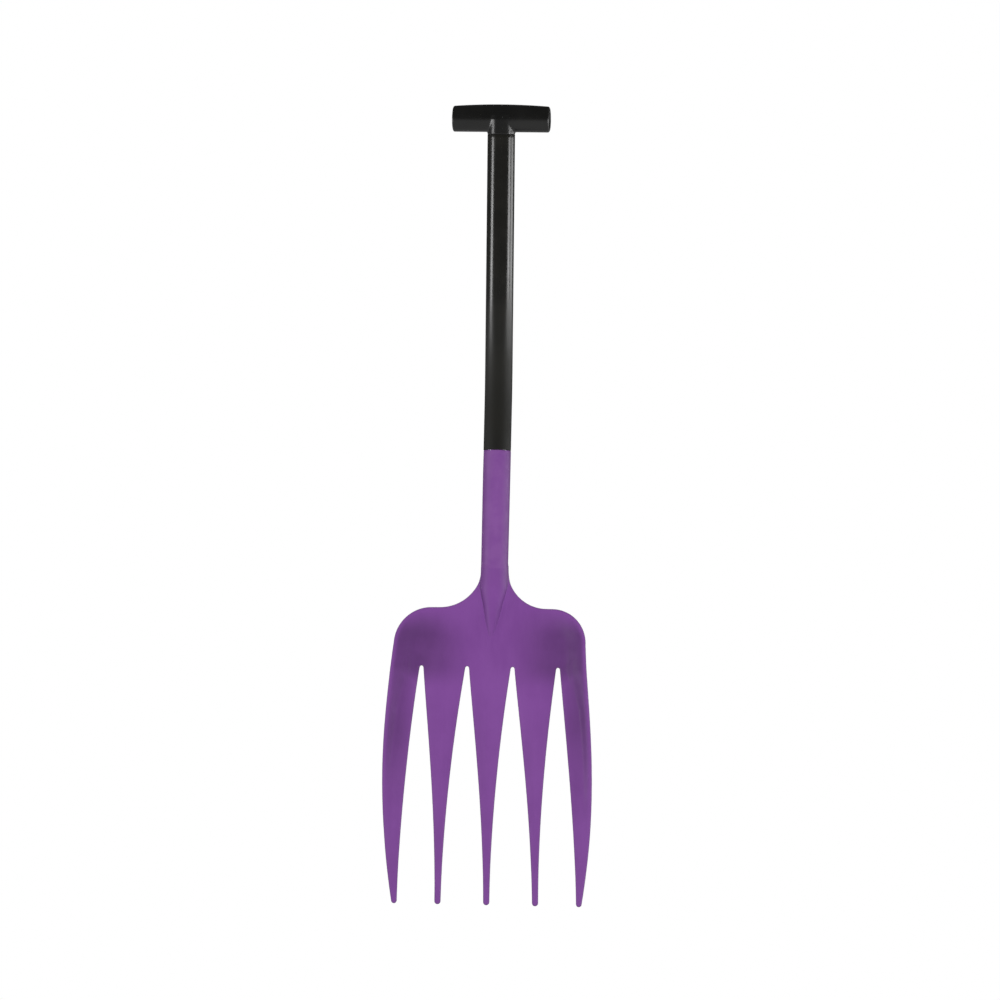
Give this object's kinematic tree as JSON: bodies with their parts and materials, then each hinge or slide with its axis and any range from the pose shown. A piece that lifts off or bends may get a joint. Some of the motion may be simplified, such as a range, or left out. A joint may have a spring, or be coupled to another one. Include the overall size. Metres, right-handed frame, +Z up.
{
  "type": "bedding fork",
  "caption": "Long-handled bedding and leaf fork with a dished plastic head of broad tapering tines, a slightly cranked sleeved shaft and a T-grip.",
  "frame": {"origin": "on the shaft's axis, level with the underside of the grip's crossbar, where the fork hangs", "axes": "+Z up along the upper shaft towards the grip, tines point down; -Y is the dished front; +X is to the right seen from the front, along the crossbar"},
  "size_m": [0.2876, 0.0998, 1.0857],
  "materials": {
    "purple_plastic": "semi-gloss moulded polypropylene",
    "black_sleeve": "glossy extruded plastic",
    "black_grip": "satin moulded plastic",
    "black_cap": "matt moulded plastic",
    "aluminium_tube": "drawn tube",
    "beech_plug": "turned dowel",
    "zinc_screw": "zinc plated"
  },
  "bodies": {
    "root": {"fork_head": "purple_plastic", "shaft_sleeve": "black_sleeve", "t_grip": "black_grip", "grip_cap_left": "black_cap", "grip_cap_right": "black_cap", "core_tube": "aluminium_tube", "tube_plug": "beech_plug", "grip_screw": "zinc_screw", "head_screw_upper": "zinc_screw", "head_screw_lower": "zinc_screw"}
  },
  "joints": []
}
